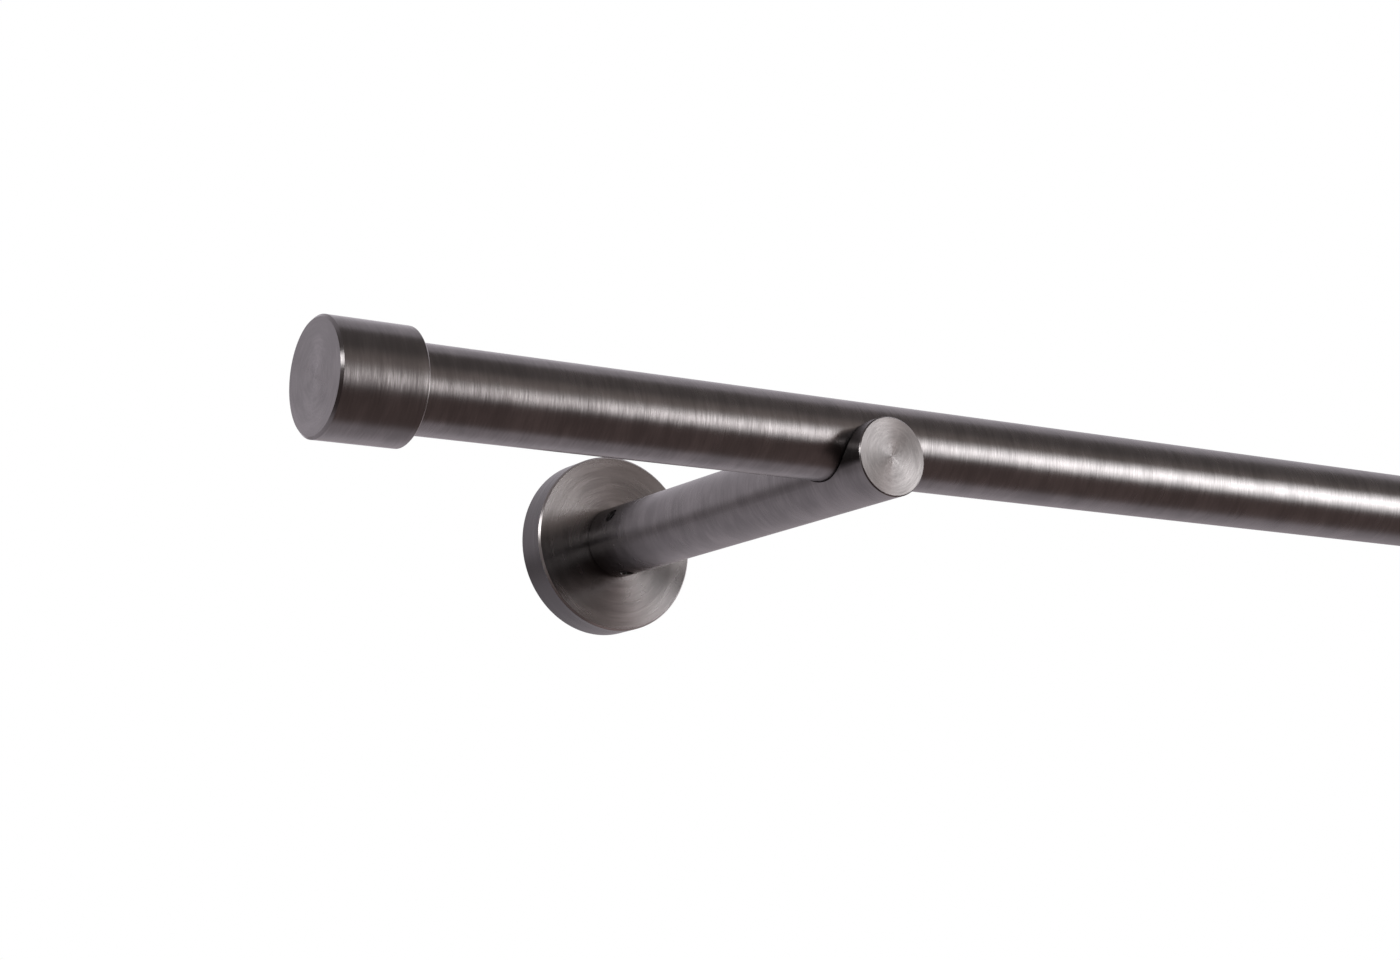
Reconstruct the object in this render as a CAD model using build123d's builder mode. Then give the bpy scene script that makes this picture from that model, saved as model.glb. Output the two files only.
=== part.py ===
from build123d import *
import os

# A wall-mounted curtain rod: a round tube that lies in the open saddles of two brackets.
# Origin: on the wall, midway between the brackets, at the height of the bracket arms.
# +X runs along the rod, +Y points into the wall, +Z is up. All sizes are in millimetres.

# Rod
TUBE_DIAMETER = 20.0
TUBE_WALL = 1.0
TUBE_LENGTH = 800.0
TUBE_OVERHANG = 131.0  # from a bracket's axis to the end of the tube
TUBE_DEBURR = 0.2
ROD_TO_WALL = 117.0  # from the rod's axis to the wall

# End caps, turned cups that slip over the tube's ends
CAP_WALL = 3.05  # around the tube
CAP_SOCKET_CLEARANCE = 0.1  # radial, around the tube
CAP_SOCKET_DEPTH = 11.3
CAP_FACE_WALL = 2.0  # between the tapped hole's end and the face
CAP_FACE_CHAMFER = 0.6
CAP_BACK_CHAMFER = 0.4

# Ribbed friction plugs that hold the caps in the tube
PLUG_RIB_COUNT = 6
PLUG_RIB_WIDTH = 2.4
PLUG_RIB_HEIGHT = 1.5
PLUG_RIB_CLEARANCE = 0.05  # radial, inside the tube
PLUG_LEAD = 2.5  # length of plain body ahead of the ribs
PLUG_HEAD_RECESS = 6.0  # from the screw's head to the plug's inner end

# Socket head screws that pull the plugs onto the caps
CAP_SCREW_DIAMETER = 4.0
CAP_SCREW_LENGTH = 16.0
CAP_SCREW_GRIP = 6.0  # length of thread inside the cap
CAP_SCREW_HEAD_DIAMETER = 7.0
CAP_SCREW_HEAD_HEIGHT = 4.0
CAP_SCREW_HEX = 3.0  # across flats
CAP_SCREW_HEX_DEPTH = 2.0
CAP_SCREW_TAPPED_EXTRA = 1.0  # tapped depth beyond the screw's tip
SCREW_CLEARANCE = 0.05  # radial, around a thread that is drawn plain
SCREW_HOLE_CLEARANCE = 0.2  # radial, around a screw's shank or head in a plain hole

# Bracket arms, solid bars with an open saddle near the front end
ARM_DIAMETER = 19.3
ARM_LIP = 4.35  # thickness of the lip ahead of the saddle
ARM_FRONT_CHAMFER = 0.3
ARM_BASE_CHAMFER = 0.4
SADDLE_FLOOR = 5.95  # thickness of the arm under the rod
SADDLE_CLEARANCE = 0.75  # radial, so the rod drops in freely
SADDLE_SEAT_GAP = 0.02  # between the rod and the floor of the saddle
SADDLE_EDGE_BREAK = 0.3

# Roses, cups that cover the wall plates
ROSE_DIAMETER = 48.7
ROSE_FACE_WALL = 2.5
ROSE_RIM_WALL = 2.5
ROSE_CHAMFER = 0.5
ROSE_BACK_CHAMFER = 0.3

# Wall plates
PLATE_THICKNESS = 5.5
PLATE_CLEARANCE = 0.4  # radial, inside the rose
PLATE_FRONT_GAP = 1.4  # between the plate and the rose's face wall
PLATE_EDGE_CHAMFER = 0.5
WALL_SCREW_EDGE = 7.95  # from a screw hole's axis to the plate's edge
WALL_SCREW_HOLE_DIAMETER = 4.5
WALL_SCREW_HEAD_DIAMETER = 9.0
WALL_SCREW_HEAD_ANGLE = 90.0

# Spigots, turned studs that clamp the roses and carry the arms
STUD_DIAMETER = 8.0
STUD_END_GAP = 0.5  # the stud stops this far short of the wall
STUD_HOLE_CLEARANCE = 0.25  # radial, through the rose
COLLAR_THICKNESS = 1.2
SPIGOT_DIAMETER = 12.0
SPIGOT_LENGTH = 20.0
SPIGOT_CLEARANCE = 0.05  # radial, inside the arm
SPIGOT_END_GAP = 1.0
SPIGOT_END_CHAMFER = 0.8
SPIGOT_HEX = 6.0  # across flats
SPIGOT_HEX_DEPTH = 4.5
WAIST_DEPTH = 1.0
WAIST_MARGIN = 1.5  # from a grub screw's edge to the end of the waist

# Grub screws that lock the arm on the spigot
GRUB_DIAMETER = 4.0
GRUB_RECESS = 0.75  # below the arm's surface
GRUB_HEX = 2.0  # across flats
GRUB_HEX_DEPTH = 1.8
GRUB_TIP_CHAMFER = 0.5
SIDE_GRUB_ANGLE = 146.5  # seen from the front, from +X towards +Z
SIDE_GRUB_SETBACK = 9.5  # from the arm's base to the screw's axis
BOTTOM_GRUB_ANGLE = 263.0
BOTTOM_GRUB_SETBACK = 5.9

# Sizes and places that follow from these
tube_radius = TUBE_DIAMETER / 2
tube_bore_radius = tube_radius - TUBE_WALL
cap_socket_radius = tube_radius + CAP_SOCKET_CLEARANCE
cap_radius = cap_socket_radius + CAP_WALL
cap_tapped_depth = CAP_SCREW_GRIP + CAP_SCREW_TAPPED_EXTRA
cap_length = CAP_SOCKET_DEPTH + cap_tapped_depth + CAP_FACE_WALL
plug_rib_radius = tube_bore_radius - PLUG_RIB_CLEARANCE
plug_body_radius = plug_rib_radius - PLUG_RIB_HEIGHT
plug_floor = CAP_SCREW_LENGTH - CAP_SCREW_GRIP
plug_length = plug_floor + CAP_SCREW_HEAD_HEIGHT + PLUG_HEAD_RECESS

rose_radius = ROSE_DIAMETER / 2
rose_cavity_radius = rose_radius - ROSE_RIM_WALL
rose_cavity_depth = PLATE_THICKNESS + PLATE_FRONT_GAP
rose_thickness = rose_cavity_depth + ROSE_FACE_WALL
plate_radius = rose_cavity_radius - PLATE_CLEARANCE
wall_screw_spacing = 2 * (plate_radius - WALL_SCREW_EDGE)

arm_radius = ARM_DIAMETER / 2
arm_base = rose_thickness + COLLAR_THICKNESS
saddle_radius = tube_radius + SADDLE_CLEARANCE
arm_front = ROD_TO_WALL + saddle_radius + ARM_LIP
rod_y = -ROD_TO_WALL
rod_z = tube_radius + SADDLE_FLOOR - arm_radius
saddle_axis_z = rod_z + SADDLE_CLEARANCE - SADDLE_SEAT_GAP
bracket_x = TUBE_LENGTH / 2 - TUBE_OVERHANG

spigot_radius = SPIGOT_DIAMETER / 2
waist_radius = spigot_radius - WAIST_DEPTH
grub_radius = GRUB_DIAMETER / 2
grub_length = arm_radius - GRUB_RECESS - waist_radius
grub_places = [(SIDE_GRUB_ANGLE, SIDE_GRUB_SETBACK), (BOTTOM_GRUB_ANGLE, BOTTOM_GRUB_SETBACK)]
waist_start = min(SIDE_GRUB_SETBACK, BOTTOM_GRUB_SETBACK) - grub_radius - WAIST_MARGIN
waist_end = max(SIDE_GRUB_SETBACK, BOTTOM_GRUB_SETBACK) + grub_radius + WAIST_MARGIN
sides = {"left": -1, "right": 1}


def room_plane(side):
    """A bracket's plane on the wall: local x is +X, local y is +Z and local z points into the room."""
    return Plane(origin=(sides[side] * bracket_x, 0, 0), x_dir=(1, 0, 0), z_dir=(0, -1, 0))


def end_plane(side):
    """The plane of a tube end: local x is +Y and local z points out of the tube."""
    sign = sides[side]
    return Plane(origin=(sign * TUBE_LENGTH / 2, rod_y, rod_z), x_dir=(0, 1, 0), z_dir=(sign, 0, 0))


def grub_plane(side, angle, setback):
    """A grub screw's plane on the arm's axis: local z points out along the screw."""
    arm_plane = room_plane(side).offset(arm_base + setback)
    outward = arm_plane.x_dir.rotate(Axis((0, 0, 0), arm_plane.z_dir), angle)
    return Plane(origin=arm_plane.origin, x_dir=arm_plane.z_dir, z_dir=outward)


def out_along(plane):
    """The axis that leaves a plane along its normal."""
    return Axis(plane.origin, plane.z_dir)


def save(part, name):
    """Labels a finished piece and writes it to its own file."""
    part.label = name
    export_step(part, f"parts/{name}.step")


def make_tube():
    """The round tube, with deburred ends."""
    with BuildPart() as tube:
        with BuildSketch(Plane(origin=(-TUBE_LENGTH / 2, rod_y, rod_z), z_dir=(1, 0, 0))):
            Circle(tube_radius)
            Circle(tube_bore_radius, mode=Mode.SUBTRACT)
        extrude(amount=TUBE_LENGTH)
        chamfer(tube.edges().filter_by(GeomType.CIRCLE), TUBE_DEBURR)
    save(tube.part, "tube")


def make_end_cap(side):
    """A turned cup with a blind tapped hole in its floor."""
    floor = end_plane(side)
    back = floor.offset(-CAP_SOCKET_DEPTH)
    with BuildPart() as cap:
        with BuildSketch(back):
            Circle(cap_radius)
        extrude(amount=cap_length)
        chamfer(cap.edges().sort_by(out_along(floor))[-1], CAP_FACE_CHAMFER)
        chamfer(cap.edges().sort_by(out_along(floor))[0], CAP_BACK_CHAMFER)
        with BuildSketch(back):
            Circle(cap_socket_radius)
        extrude(amount=CAP_SOCKET_DEPTH, mode=Mode.SUBTRACT)
        with BuildSketch(floor):
            Circle(CAP_SCREW_DIAMETER / 2 + SCREW_CLEARANCE)
        extrude(amount=cap_tapped_depth, mode=Mode.SUBTRACT)
    save(cap.part, f"{side}_end_cap")


def make_cap_plug(side):
    """A moulded plug with crush ribs, counterbored for the screw that holds it on the cap."""
    floor = end_plane(side)
    with BuildPart() as plug:
        with BuildSketch(floor):
            Circle(plug_body_radius)
        extrude(amount=-plug_length)
        with BuildSketch(floor):
            with PolarLocations(plug_rib_radius / 2, PLUG_RIB_COUNT):
                Rectangle(plug_rib_radius, PLUG_RIB_WIDTH)
            Circle(plug_rib_radius, mode=Mode.INTERSECT)
        extrude(amount=-(plug_length - PLUG_LEAD))
        with BuildSketch(floor):
            Circle(CAP_SCREW_DIAMETER / 2 + SCREW_HOLE_CLEARANCE)
        extrude(amount=-plug_length, mode=Mode.SUBTRACT)
        with BuildSketch(floor.offset(-plug_floor)):
            Circle(CAP_SCREW_HEAD_DIAMETER / 2 + SCREW_HOLE_CLEARANCE)
        extrude(amount=plug_floor - plug_length, mode=Mode.SUBTRACT)
    save(plug.part, f"{side}_cap_plug")


def make_cap_screw(side):
    """A socket head screw, its head seated in the plug and its thread in the cap."""
    seat = end_plane(side).offset(-plug_floor)
    with BuildPart() as screw:
        with BuildSketch(seat):
            Circle(CAP_SCREW_DIAMETER / 2)
        extrude(amount=CAP_SCREW_LENGTH)
        with BuildSketch(seat):
            Circle(CAP_SCREW_HEAD_DIAMETER / 2)
        extrude(amount=-CAP_SCREW_HEAD_HEIGHT)
        with BuildSketch(seat.offset(-CAP_SCREW_HEAD_HEIGHT)):
            RegularPolygon(CAP_SCREW_HEX / 2, 6, major_radius=False)
        extrude(amount=CAP_SCREW_HEX_DEPTH, mode=Mode.SUBTRACT)
    save(screw.part, f"{side}_cap_screw")


def make_arm(side):
    """A bracket arm: a chamfered bar, bored for its spigot and notched for the rod."""
    wall = room_plane(side)
    saddle = Plane(origin=(wall.origin.X, rod_y, saddle_axis_z), x_dir=(0, 1, 0), z_dir=(1, 0, 0))
    with BuildPart() as arm:
        with BuildSketch(wall.offset(arm_base)):
            Circle(arm_radius)
        extrude(amount=arm_front - arm_base)
        # The saddle, a slot that is open at the top and round at the bottom
        with BuildSketch(saddle):
            Circle(saddle_radius)
            Rectangle(2 * saddle_radius, ARM_DIAMETER, align=(Align.CENTER, Align.MIN))
        extrude(amount=ARM_DIAMETER, both=True, mode=Mode.SUBTRACT)
        chamfer(arm.edges(Select.LAST).filter_by(GeomType.LINE, reverse=True), SADDLE_EDGE_BREAK)
        chamfer(arm.edges().sort_by(out_along(wall))[-1], ARM_FRONT_CHAMFER)
        chamfer(arm.edges().sort_by(out_along(wall))[0], ARM_BASE_CHAMFER)
        with BuildSketch(wall.offset(arm_base)):
            Circle(spigot_radius + SPIGOT_CLEARANCE)
        extrude(amount=SPIGOT_LENGTH + SPIGOT_END_GAP, mode=Mode.SUBTRACT)
        for angle, setback in grub_places:
            with BuildSketch(grub_plane(side, angle, setback)):
                Circle(grub_radius + SCREW_CLEARANCE)
            extrude(amount=ARM_DIAMETER, mode=Mode.SUBTRACT)
    save(arm.part, f"{side}_arm")


def make_rose(side):
    """A turned cup that hides the wall plate, with a hole for the stud."""
    wall = room_plane(side)
    with BuildPart() as rose:
        with BuildSketch(wall):
            Circle(rose_radius)
        extrude(amount=rose_thickness)
        chamfer(rose.edges().sort_by(out_along(wall))[-1], ROSE_CHAMFER)
        chamfer(rose.edges().sort_by(out_along(wall))[0], ROSE_BACK_CHAMFER)
        with BuildSketch(wall):
            Circle(rose_cavity_radius)
        extrude(amount=rose_cavity_depth, mode=Mode.SUBTRACT)
        with BuildSketch(wall):
            Circle(STUD_DIAMETER / 2 + STUD_HOLE_CLEARANCE)
        extrude(amount=rose_thickness, mode=Mode.SUBTRACT)
    save(rose.part, f"{side}_rose")


def make_wall_plate(side):
    """A round plate with a tapped centre and two countersunk screw holes, one above the other."""
    wall = room_plane(side)
    with BuildPart() as plate:
        with BuildSketch(wall):
            Circle(plate_radius)
        extrude(amount=PLATE_THICKNESS)
        chamfer(plate.edges().sort_by(out_along(wall))[-1], PLATE_EDGE_CHAMFER)
        with BuildSketch(wall):
            Circle(STUD_DIAMETER / 2 + SCREW_CLEARANCE)
        extrude(amount=PLATE_THICKNESS, mode=Mode.SUBTRACT)
        with Locations(wall.offset(PLATE_THICKNESS)):
            with GridLocations(0, wall_screw_spacing, 1, 2):
                CounterSinkHole(
                    radius=WALL_SCREW_HOLE_DIAMETER / 2,
                    counter_sink_radius=WALL_SCREW_HEAD_DIAMETER / 2,
                    depth=PLATE_THICKNESS,
                    counter_sink_angle=WALL_SCREW_HEAD_ANGLE,
                )
    save(plate.part, f"{side}_wall_plate")


def make_spigot(side):
    """A turned stud: thread, collar, and a waisted spigot with a hexagon socket."""
    wall = room_plane(side)
    collar_back = wall.offset(rose_thickness)
    base = wall.offset(arm_base)
    with BuildPart() as spigot:
        with BuildSketch(wall.offset(STUD_END_GAP)):
            Circle(STUD_DIAMETER / 2)
        extrude(amount=rose_thickness - STUD_END_GAP)
        with BuildSketch(collar_back):
            Circle(arm_radius)
        extrude(amount=COLLAR_THICKNESS)
        with BuildSketch(base):
            Circle(spigot_radius)
        extrude(amount=SPIGOT_LENGTH)
        chamfer(spigot.edges().sort_by(out_along(wall))[-1], SPIGOT_END_CHAMFER)
        with BuildSketch(base.offset(waist_start)):
            Circle(spigot_radius)
            Circle(waist_radius, mode=Mode.SUBTRACT)
        extrude(amount=waist_end - waist_start, mode=Mode.SUBTRACT)
        with BuildSketch(base.offset(SPIGOT_LENGTH)):
            RegularPolygon(SPIGOT_HEX / 2, 6, major_radius=False)
        extrude(amount=-SPIGOT_HEX_DEPTH, mode=Mode.SUBTRACT)
    save(spigot.part, f"{side}_spigot")


def make_grub_screws(side):
    """The grub screws of one bracket, with their tips on the spigot's waist."""
    with BuildPart() as grubs:
        for angle, setback in grub_places:
            tip = grub_plane(side, angle, setback).offset(waist_radius)
            with BuildSketch(tip):
                Circle(grub_radius - GRUB_TIP_CHAMFER)
            with BuildSketch(tip.offset(GRUB_TIP_CHAMFER)):
                Circle(grub_radius)
            loft()
            with BuildSketch(tip.offset(GRUB_TIP_CHAMFER)):
                Circle(grub_radius)
            extrude(amount=grub_length - GRUB_TIP_CHAMFER)
            with BuildSketch(tip.offset(grub_length)):
                RegularPolygon(GRUB_HEX / 2, 6, major_radius=False)
            extrude(amount=-GRUB_HEX_DEPTH, mode=Mode.SUBTRACT)
    save(grubs.part, f"{side}_grub_screws")


os.makedirs("parts", exist_ok=True)
make_tube()
for side in sides:
    make_end_cap(side)
    make_cap_plug(side)
    make_cap_screw(side)
    make_arm(side)
    make_rose(side)
    make_wall_plate(side)
    make_spigot(side)
    make_grub_screws(side)
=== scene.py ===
import math

import bpy
from mathutils import Matrix, Vector


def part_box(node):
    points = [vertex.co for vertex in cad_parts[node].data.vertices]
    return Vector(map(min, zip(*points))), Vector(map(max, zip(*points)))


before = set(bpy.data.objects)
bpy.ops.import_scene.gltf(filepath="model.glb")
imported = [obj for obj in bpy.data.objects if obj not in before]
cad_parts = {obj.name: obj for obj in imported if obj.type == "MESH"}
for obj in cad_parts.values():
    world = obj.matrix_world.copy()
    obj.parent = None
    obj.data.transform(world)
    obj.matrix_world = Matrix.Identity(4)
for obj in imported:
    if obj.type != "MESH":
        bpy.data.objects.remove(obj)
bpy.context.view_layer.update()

# A dark brushed metal curtain rod on two wall brackets, seen close to its left end.
# Everything is in metres, in the part's own frame: +X along the rod, +Y into the wall, +Z up.

# Camera, for an image of 1400 by 960
LENS_MM = 60.3656
SENSOR_MM = 36.0
EYE = Vector((-0.608233, -0.550286, -0.116902))
YAW = math.radians(34.2372)
PITCH = math.radians(11.8613)
ROLL = math.radians(1.7898)
NEAR_CLIP = 0.01
FAR_CLIP = 50.0

# Brushed metal: its lines vary between two colours, and the finest are one groove wide
METAL_DARK = (0.140, 0.132, 0.132)
METAL_LIGHT = (0.194, 0.1825, 0.1825)
METAL_ROUGHNESS = 0.258
METAL_ANISOTROPY = 0.82
BRUSH_TURN = 0.25  # a quarter turn, so that highlights spread across the lines
GROOVE = 0.0005
LEAST_RADIUS = 1e-5  # keeps the middle of an end face from dividing by zero

# Brushed metal: noises, by width in grooves, changes around a ring and detail
FINE_NOISE = (1.0, 2.5, 2.0)
COARSE_NOISE = (4.0, 1.2, 2.0)
WIDE_NOISE = (12.0, 1.0, 1.0)
BROAD_NOISE = (48.0, 0.8, 1.0)
NOISE_MIDDLE = 0.5

# Brushed metal: what the noises do to tone, roughness and relief
WIDE_TONE = 0.7
BROAD_TONE = 0.5
TONE_RANGE = (0.25, 0.75)
COARSE_ROUGHNESS = 0.10
BROAD_ROUGHNESS = 0.06
FINE_RELIEF = 2.6e-5
COARSE_RELIEF = 3.2e-5
WIDE_RELIEF = 8.0e-5
FACE_RELIEF = 0.4  # share of the relief that is left on end faces
FACE_SLANT = (0.90, 0.97)  # from sides to end faces, by how far they face along the axis

# Brushed metal: rims painted darker as painted shade, and outer edges painted lighter as painted highlights
EDGE_DEPTH = 0.00065  # both reach this far in from the outside
EDGE_BLUR = 0.0001
RIM_SLANT = (0.4, 0.2)
RIM_PAINTED_SHADE = 0.61
HIGHLIGHT_SLANT_LOW = (0.4, 0.6)
HIGHLIGHT_SLANT_HIGH = (0.95, 0.85)
PAINTED_HIGHLIGHT_GAIN = 2.6
EDGE_ROUGHNESS = 0.06
BEYOND = 1.0  # a radius that no piece reaches

# Grained finishes of the plated and moulded pieces
GRAIN_DETAIL = 4.0
GRAIN_HARSHNESS = 0.6
CLOUD_SCALE = 0.12  # against the grain's scale
CLOUD_DETAIL = 2.0
GRAIN_TONE_RANGE = (0.3, 0.7)
GRAIN_ROUGHNESS = 0.3
GRAIN_RELIEF = 0.2  # against the size of a grain

# Studio: colours of the dim room in front of the rod and of the white one behind it
WHITE = (1.0, 1.0, 1.0, 1.0)
FRONT_HIGH_COLOUR = (0.262, 0.234, 0.228, 1.0)
FRONT_LOW_COLOUR = (0.280, 0.211, 0.200, 1.0)
FRONT_LOW_LEFT_COLOUR = (0.110, 0.083, 0.079, 1.0)
FRONT_LEFT_EDGE = (math.radians(12.0), math.radians(34.0))
BACK_COLOUR = (1.03, 0.97, 1.055, 1.0)

# Studio: the white room's edge, by how far a direction points to the wall, and its level
BACK_FROM = -0.05
BACK_UPPER_EDGE = (0.16, 0.66)
BACK_LOWER_EDGE = (0.32, 0.58)
BACK_MIDDLE = 0.95
BACK_RISE = 0.22  # from the edge to the middle
ABOVE = (-0.2, 0.1)  # from the lower to the upper half, by how far a direction points up
HORIZON = math.radians(-9.0)
HORIZON_WIDTH = math.radians(18.0)
HORIZON_DEPTH = 0.5

# Studio: soft lights, by azimuth from straight ahead of the rod and by elevation
KEY_LEVEL = 9.9
KEY_LEFT_COLOUR = (1.0, 0.76, 0.745, 1.0)
KEY_COLOUR = (0.985, 1.0, 1.01, 1.0)
KEY_TINT_EDGE = (math.radians(30.0), math.radians(40.0))
KEY_LEFT_EDGE = (math.radians(29.2), math.radians(41.4))
KEY_RIGHT_EDGE = (math.radians(90.0), math.radians(66.0))
KEY_LOW_EDGE = (math.radians(-22.7), math.radians(4.8))
KEY_HIGH_EDGE = (math.radians(23.4), math.radians(-0.8))
KEY_HIGH_SLOPE = 0.8
KEY_HIGH_FROM = math.radians(46.3)
GLOW_LEVEL = 0.37
GLOW_COLOUR = (1.0, 0.86, 0.78, 1.0)
GLOW_AZIMUTH = math.radians(33.0)
GLOW_ELEVATION = math.radians(16.4)
GLOW_WIDTH = math.radians(35.5)
SIDE_LEVEL = 12.0
SIDE_AZIMUTH = math.radians(-60.0)
SIDE_ELEVATION = math.radians(20.5)
SIDE_WIDTH = math.radians(14.0)
FILL_LEVEL = 3.0
FILL_AZIMUTH = math.radians(-20.0)
FILL_ELEVATION = math.radians(-2.0)
FILL_WIDTH = math.radians(18.0)
SPOT_CORE = 0.2  # share of a round light's width that has its full level

# Studio: a softbox over the object for the floor and the dull pieces
TOP_PLACE = (0.0, -0.06, 1.1)
TOP_SIZE = 0.5
TOP_WATTS = 6.0

# Studio: the floor, which fades out between two shares of its radius
FLOOR_Z = -0.32
FLOOR_RADIUS = 1.3
FLOOR_CORNERS = 96
FLOOR_COLOUR = (0.86, 0.86, 0.86, 1.0)
FLOOR_FADE = (0.55, 0.98)


class Graph:
    """Adds nodes to a node tree. An input may be a number, a colour or another node's output."""

    def __init__(self, tree):
        self.tree = tree
        tree.nodes.clear()

    def put(self, socket, value):
        """Links an output to a socket, or sets the socket's own value."""
        if isinstance(value, bpy.types.NodeSocket):
            self.tree.links.new(value, socket)
        else:
            socket.default_value = value

    def add(self, kind, inputs=None, **settings):
        """A node of this kind with its settings and inputs, which go by name or by place."""
        node = self.tree.nodes.new(kind)
        for key, value in settings.items():
            setattr(node, key, value)
        for key, value in (inputs or {}).items():
            self.put(node.inputs[key], value)
        return node

    def math(self, operation, first, second=0.0, third=0.0):
        """One arithmetic step."""
        node = self.add("ShaderNodeMath", {0: first, 1: second, 2: third}, operation=operation)
        return node.outputs[0]

    def mean(self, first, second):
        """The mean of two numbers."""
        return self.math("MULTIPLY_ADD", first, 0.5, self.math("MULTIPLY", second, 0.5))

    def length(self, a, b):
        """The length of a flat vector."""
        return self.math("SQRT", self.math("MULTIPLY_ADD", a, a, self.math("MULTIPLY", b, b)))

    def sway(self, base, noise, amount):
        """base, moved by amount times what the noise is above its middle."""
        return self.math("MULTIPLY_ADD", self.math("SUBTRACT", noise, NOISE_MIDDLE), amount, base)

    def ramp(self, value, low, high, start=0.0, end=1.0):
        """A smooth step from start to end while value goes from low to high."""
        node = self.add(
            "ShaderNodeMapRange",
            {"Value": value, "From Min": low, "From Max": high, "To Min": start, "To Max": end},
            interpolation_type="SMOOTHSTEP",
        )
        return node.outputs["Result"]

    def mix(self, factor, first, second):
        """A blend of two colours."""
        node = self.add("ShaderNodeMix", data_type="RGBA")
        self.put(node.inputs["Factor"], factor)
        self.put(node.inputs[6], first)
        self.put(node.inputs[7], second)
        return node.outputs[2]

    def split(self, vector):
        """A vector's three coordinates."""
        return self.add("ShaderNodeSeparateXYZ", {0: vector}).outputs

    def noise(self, point, scale, detail, harshness=0.5):
        """Noise at a point."""
        node = self.add(
            "ShaderNodeTexNoise",
            {"Vector": point, "Scale": scale, "Detail": detail, "Roughness": harshness},
        )
        return node.outputs["Fac"]


def new_material(name):
    """An empty material and the graph that fills it."""
    material = bpy.data.materials.new(name)
    material.use_nodes = True
    return material, Graph(material.node_tree)


def opaque(colour, factor=1.0):
    """A colour with its brightness changed and with full opacity."""
    return (*(factor * value for value in colour), 1.0)


def turned_metal(name, axis, centre, rim_from=BEYOND, highlight_from=BEYOND, highlight_side=1.0):
    """Metal that was turned and brushed around an axis, so its fine lines are rings around that axis.

    centre is where the axis crosses the plane of the other two coordinates. Sides farther from the
    axis than rim_from are painted darker as painted shade, and a chamfer farther out than highlight_from,
    on the end that highlight_side gives, is painted lighter as a painted highlight.
    """
    material, g = new_material(name)
    place = g.split(g.add("ShaderNodeTexCoord").outputs["Object"])
    facing = g.split(g.add("ShaderNodeNewGeometry").outputs["Normal"])
    along, across = (0, 1) if axis == "X" else (1, 0)
    a = g.math("SUBTRACT", place[across], centre[0])
    b = g.math("SUBTRACT", place[2], centre[1])
    radius = g.math("MAXIMUM", g.length(a, b), LEAST_RADIUS)
    turn_a = g.math("DIVIDE", a, radius)
    turn_b = g.math("DIVIDE", b, radius)
    # Rings lie one after another along the sides and outwards over the end faces
    ring = g.math("ADD", place[along], radius)

    def rings(grooves, changes, detail):
        """Noise that differs from ring to ring and changes slowly around each ring."""
        point = g.add(
            "ShaderNodeCombineXYZ",
            {
                0: g.math("MULTIPLY", ring, 1.0 / (GROOVE * grooves)),
                1: g.math("MULTIPLY", turn_a, changes),
                2: g.math("MULTIPLY", turn_b, changes),
            },
        )
        return g.noise(point.outputs[0], 1.0, detail)

    fine = rings(*FINE_NOISE)
    coarse = rings(*COARSE_NOISE)
    wide = rings(*WIDE_NOISE)
    broad = rings(*BROAD_NOISE)
    tone = g.sway(g.mean(fine, coarse), broad, BROAD_TONE)
    tone = g.sway(tone, wide, WIDE_TONE)
    colour = g.mix(g.ramp(tone, *TONE_RANGE), opaque(METAL_DARK), opaque(METAL_LIGHT))

    def outside(start):
        """1 farther from the axis than start, and 0 inside."""
        return g.ramp(radius, start - EDGE_BLUR, start + EDGE_BLUR)

    slant = g.math("ABSOLUTE", facing[along])
    # Painted shade: sides farther out than rim_from get a darker colour
    rim = g.math("MULTIPLY", outside(rim_from), g.ramp(slant, *RIM_SLANT))
    colour = g.mix(rim, colour, opaque(METAL_DARK, RIM_PAINTED_SHADE))
    # Painted highlight: chamfers farther out than highlight_from, on the end that highlight_side gives, get a
    # lighter colour
    lean = g.math("MULTIPLY", facing[along], highlight_side)
    edge = g.math("MULTIPLY", g.ramp(lean, *HIGHLIGHT_SLANT_LOW), g.ramp(lean, *HIGHLIGHT_SLANT_HIGH))
    edge = g.math("MULTIPLY", edge, outside(highlight_from))
    colour = g.mix(edge, colour, opaque(METAL_DARK, PAINTED_HIGHLIGHT_GAIN))
    rough = g.sway(METAL_ROUGHNESS, coarse, COARSE_ROUGHNESS)
    rough = g.sway(rough, broad, BROAD_ROUGHNESS)
    rough = g.math("MULTIPLY_ADD", edge, EDGE_ROUGHNESS, rough)
    height = g.math("MULTIPLY_ADD", fine, FINE_RELIEF, g.math("MULTIPLY", coarse, COARSE_RELIEF))
    height = g.math("MULTIPLY_ADD", wide, WIDE_RELIEF, height)
    height = g.math("MULTIPLY", height, g.ramp(slant, *FACE_SLANT, 1.0, FACE_RELIEF))
    bump = g.add("ShaderNodeBump", {"Strength": 1.0, "Distance": 1.0, "Height": height})
    tangent = g.add("ShaderNodeTangent", direction_type="RADIAL", axis=axis)
    shader = g.add(
        "ShaderNodeBsdfPrincipled",
        {
            "Base Color": colour,
            "Metallic": 1.0,
            "Roughness": rough,
            "Anisotropic": METAL_ANISOTROPY,
            "Anisotropic Rotation": BRUSH_TURN,
            "Normal": bump.outputs[0],
            "Tangent": tangent.outputs[0],
        },
    )
    g.add("ShaderNodeOutputMaterial", {"Surface": shader.outputs[0]})
    return material


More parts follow.
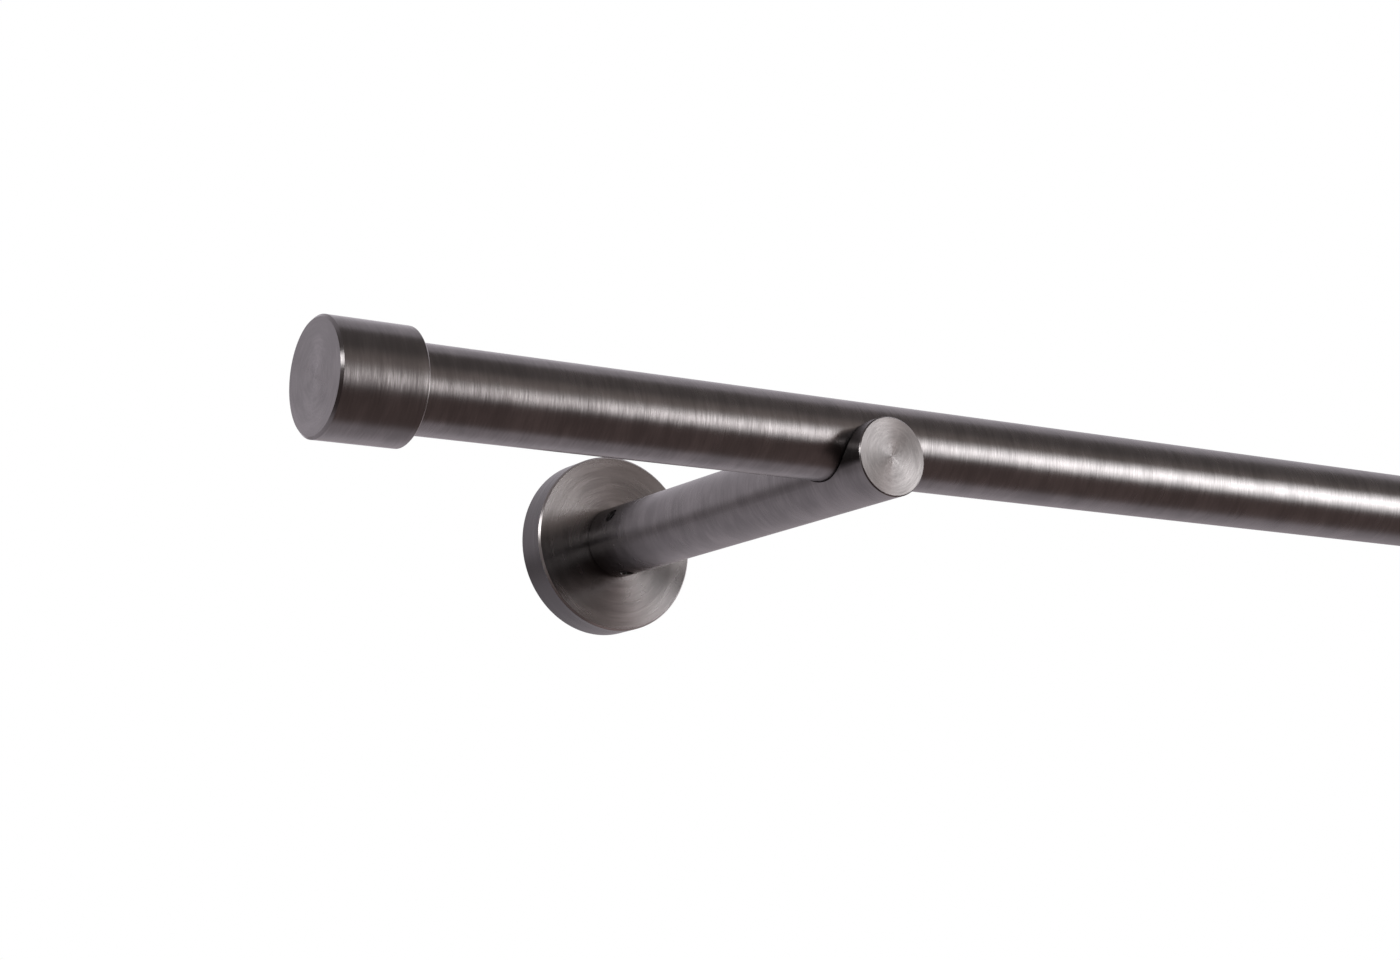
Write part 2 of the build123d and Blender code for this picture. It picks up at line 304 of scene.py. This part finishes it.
def grained(name, dark, light, roughness, metallic, scale, relief):
    """A fine-grained finish without a direction, for plated and moulded pieces."""
    material, g = new_material(name)
    place = g.add("ShaderNodeTexCoord").outputs["Object"]
    grain = g.noise(place, scale, GRAIN_DETAIL, GRAIN_HARSHNESS)
    cloud = g.noise(place, scale * CLOUD_SCALE, CLOUD_DETAIL)
    tone = g.mean(grain, cloud)
    colour = g.mix(g.ramp(tone, *GRAIN_TONE_RANGE), opaque(dark), opaque(light))
    rough = g.sway(roughness, tone, GRAIN_ROUGHNESS)
    bump = g.add("ShaderNodeBump", {"Strength": relief, "Distance": GRAIN_RELIEF / scale, "Height": grain})
    shader = g.add(
        "ShaderNodeBsdfPrincipled",
        {"Base Color": colour, "Metallic": metallic, "Roughness": rough, "Normal": bump.outputs[0]},
    )
    g.add("ShaderNodeOutputMaterial", {"Surface": shader.outputs[0]})
    return material


def zinc_plate():
    """Bright zinc on the hidden steel pieces."""
    return grained(
        "zinc_plate",
        dark=(0.50, 0.51, 0.52),
        light=(0.70, 0.70, 0.69),
        roughness=0.36,
        metallic=1.0,
        scale=1400.0,
        relief=0.15,
    )


def black_oxide():
    """The blackened steel of the grub screws."""
    return grained(
        "black_oxide",
        dark=(0.035, 0.035, 0.038),
        light=(0.075, 0.074, 0.076),
        roughness=0.38,
        metallic=0.9,
        scale=2500.0,
        relief=0.2,
    )


def nylon():
    """The dull black plastic of the plugs."""
    return grained(
        "nylon",
        dark=(0.012, 0.012, 0.012),
        light=(0.026, 0.026, 0.027),
        roughness=0.55,
        metallic=0.0,
        scale=2200.0,
        relief=0.3,
    )


def dress(node, material):
    """Gives a CAD piece its finish."""
    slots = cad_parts[node].data.materials
    slots.clear()
    slots.append(material)


def middle_and_edge(node):
    """The middle of a round CAD piece, and the radius at which its outer edge zone starts."""
    low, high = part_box(node)
    return (low + high) / 2, (high.z - low.z) / 2 - EDGE_DEPTH


def make_materials():
    """The finishes. Pieces that are turned around one axis share theirs."""
    middle, _ = middle_and_edge("tube")
    rod_centre = (middle.y, middle.z)
    dress("tube", turned_metal("gunmetal_tube", "X", rod_centre))
    zinc = zinc_plate()
    oxide = black_oxide()
    plastic = nylon()
    for side, inwards in (("left", 1), ("right", -1)):
        # The chamfer on the cap's inner end gets a painted highlight
        _, edge = middle_and_edge(f"{side}_end_cap")
        cap = turned_metal(f"gunmetal_{side}_cap", "X", rod_centre, highlight_from=edge, highlight_side=inwards)
        dress(f"{side}_end_cap", cap)
        # The rose's outer side gets painted shade, and its front chamfer a painted highlight
        middle, edge = middle_and_edge(f"{side}_rose")
        bracket = turned_metal(
            f"gunmetal_{side}_bracket", "Y", (middle.x, middle.z), rim_from=edge, highlight_from=edge, highlight_side=-1
        )
        for piece in ("arm", "rose", "spigot"):
            dress(f"{side}_{piece}", bracket)
        for piece in ("wall_plate", "cap_screw"):
            dress(f"{side}_{piece}", zinc)
        dress(f"{side}_grub_screws", oxide)
        dress(f"{side}_cap_plug", plastic)


def make_camera():
    """The photograph's camera."""
    forward = Vector((math.sin(YAW) * math.cos(PITCH), math.cos(YAW) * math.cos(PITCH), math.sin(PITCH)))
    level = Vector((math.cos(YAW), -math.sin(YAW), 0.0))
    down = forward.cross(level)
    right = math.cos(ROLL) * level + math.sin(ROLL) * down
    up = math.sin(ROLL) * level - math.cos(ROLL) * down
    turn = Matrix((right, up, -forward)).transposed()
    data = bpy.data.cameras.new("camera")
    data.sensor_fit = "HORIZONTAL"
    data.sensor_width = SENSOR_MM
    data.lens = LENS_MM
    data.clip_start = NEAR_CLIP
    data.clip_end = FAR_CLIP
    camera = bpy.data.objects.new("camera", data)
    camera.matrix_world = Matrix.Translation(EYE) @ turn.to_4x4()
    bpy.context.scene.collection.objects.link(camera)
    bpy.context.scene.camera = camera


def make_world():
    """A white studio behind the object, a dim room with soft lights in front, and a white background."""
    world = bpy.data.worlds.new("studio")
    world.use_nodes = True
    bpy.context.scene.world = world
    g = Graph(world.node_tree)
    way = g.split(g.add("ShaderNodeTexCoord").outputs["Generated"])
    azimuth = g.math("ARCTAN2", way[0], g.math("MULTIPLY", way[1], -1.0))
    elevation = g.math("ARCSINE", way[2])

    def back_level(edge_end, edge_level):
        """The white room's level: a steep edge, then a slow rise towards straight behind."""
        edge = g.ramp(way[1], BACK_FROM, edge_end, 0.0, edge_level)
        return g.math("ADD", edge, g.ramp(way[1], edge_end, BACK_MIDDLE, 0.0, BACK_RISE))

    upper = back_level(*BACK_UPPER_EDGE)
    lower = back_level(*BACK_LOWER_EDGE)
    above = g.ramp(way[2], *ABOVE)
    back = g.math("MULTIPLY_ADD", g.math("SUBTRACT", upper, lower), above, lower)
    # A soft grey line just below the horizon, where a backdrop meets its table
    off = g.math("ABSOLUTE", g.math("SUBTRACT", elevation, HORIZON))
    back = g.math("MULTIPLY", back, g.ramp(off, 0.0, HORIZON_WIDTH, 1.0 - HORIZON_DEPTH, 1.0))
    low = g.mix(g.ramp(azimuth, *FRONT_LEFT_EDGE), FRONT_LOW_LEFT_COLOUR, FRONT_LOW_COLOUR)
    front = g.mix(above, low, FRONT_HIGH_COLOUR)
    room = g.mix(back, front, BACK_COLOUR)
    # The key light is a wide soft panel on the right, lower towards its left end
    key = g.math("MULTIPLY", g.ramp(azimuth, *KEY_LEFT_EDGE), g.ramp(azimuth, *KEY_RIGHT_EDGE))
    key = g.math("MULTIPLY", key, g.ramp(elevation, *KEY_LOW_EDGE))
    leftwards = g.math("MINIMUM", g.math("SUBTRACT", azimuth, KEY_HIGH_FROM), 0.0)
    drop = g.math("MULTIPLY", leftwards, KEY_HIGH_SLOPE)
    key = g.math("MULTIPLY", key, g.ramp(g.math("SUBTRACT", elevation, drop), *KEY_HIGH_EDGE))
    key_colour = g.mix(g.ramp(azimuth, *KEY_TINT_EDGE), KEY_LEFT_COLOUR, KEY_COLOUR)

    def spot(level, at_azimuth, at_elevation, width):
        """A round soft light."""
        a = g.math("SUBTRACT", azimuth, at_azimuth)
        b = g.math("SUBTRACT", elevation, at_elevation)
        return g.ramp(g.length(a, b), width, SPOT_CORE * width, 0.0, level)

    side = spot(SIDE_LEVEL, SIDE_AZIMUTH, SIDE_ELEVATION, SIDE_WIDTH)
    fill = spot(FILL_LEVEL, FILL_AZIMUTH, FILL_ELEVATION, FILL_WIDTH)
    glow = spot(GLOW_LEVEL, GLOW_AZIMUTH, GLOW_ELEVATION, GLOW_WIDTH)

    def shine(colour, strength):
        """The world's light of one colour."""
        return g.add("ShaderNodeBackground", {"Color": colour, "Strength": strength}).outputs[0]

    studio = shine(room, 1.0)
    for colour, strength in (
        (key_colour, g.math("MULTIPLY", key, KEY_LEVEL)),
        (GLOW_COLOUR, glow),
        (WHITE, g.math("ADD", side, fill)),
    ):
        studio = g.add("ShaderNodeAddShader", {0: studio, 1: shine(colour, strength)}).outputs[0]
    seen = g.add("ShaderNodeLightPath").outputs["Is Camera Ray"]
    surface = g.add("ShaderNodeMixShader", {0: seen, 1: studio, 2: shine(WHITE, 1.0)})
    g.add("ShaderNodeOutputWorld", {"Surface": surface.outputs[0]})


def make_softbox():
    """A square lamp above, which the metal does not mirror."""
    data = bpy.data.lights.new("softbox", "AREA")
    data.size = TOP_SIZE
    data.energy = TOP_WATTS
    lamp = bpy.data.objects.new("softbox", data)
    lamp.location = TOP_PLACE
    lamp.visible_glossy = False
    bpy.context.scene.collection.objects.link(lamp)


def floor_material():
    """Pale paint that turns clear towards the floor's rim."""
    material, g = new_material("floor")
    place = g.split(g.add("ShaderNodeTexCoord").outputs["Object"])
    paint = g.add("ShaderNodeBsdfDiffuse", {"Color": FLOOR_COLOUR}).outputs[0]
    clear = g.add("ShaderNodeBsdfTransparent").outputs[0]
    start, end = (FLOOR_RADIUS * share for share in FLOOR_FADE)
    fade = g.ramp(g.length(place[0], place[1]), start, end)
    surface = g.add("ShaderNodeMixShader", {0: fade, 1: paint, 2: clear}).outputs[0]
    g.add("ShaderNodeOutputMaterial", {"Surface": surface})
    return material


def make_floor():
    """A plain pale floor that fades into the white around it."""
    turns = [math.tau * corner / FLOOR_CORNERS for corner in range(FLOOR_CORNERS)]
    rim = [(FLOOR_RADIUS * math.cos(turn), FLOOR_RADIUS * math.sin(turn), FLOOR_Z) for turn in turns]
    mesh = bpy.data.meshes.new("floor")
    mesh.from_pydata(rim, [], [list(range(FLOOR_CORNERS))])
    mesh.materials.append(floor_material())
    floor = bpy.data.objects.new("floor", mesh)
    floor.visible_glossy = False
    bpy.context.scene.collection.objects.link(floor)


make_materials()
make_camera()
make_world()
make_softbox()
make_floor()
bpy.context.scene.view_settings.view_transform = "Standard"
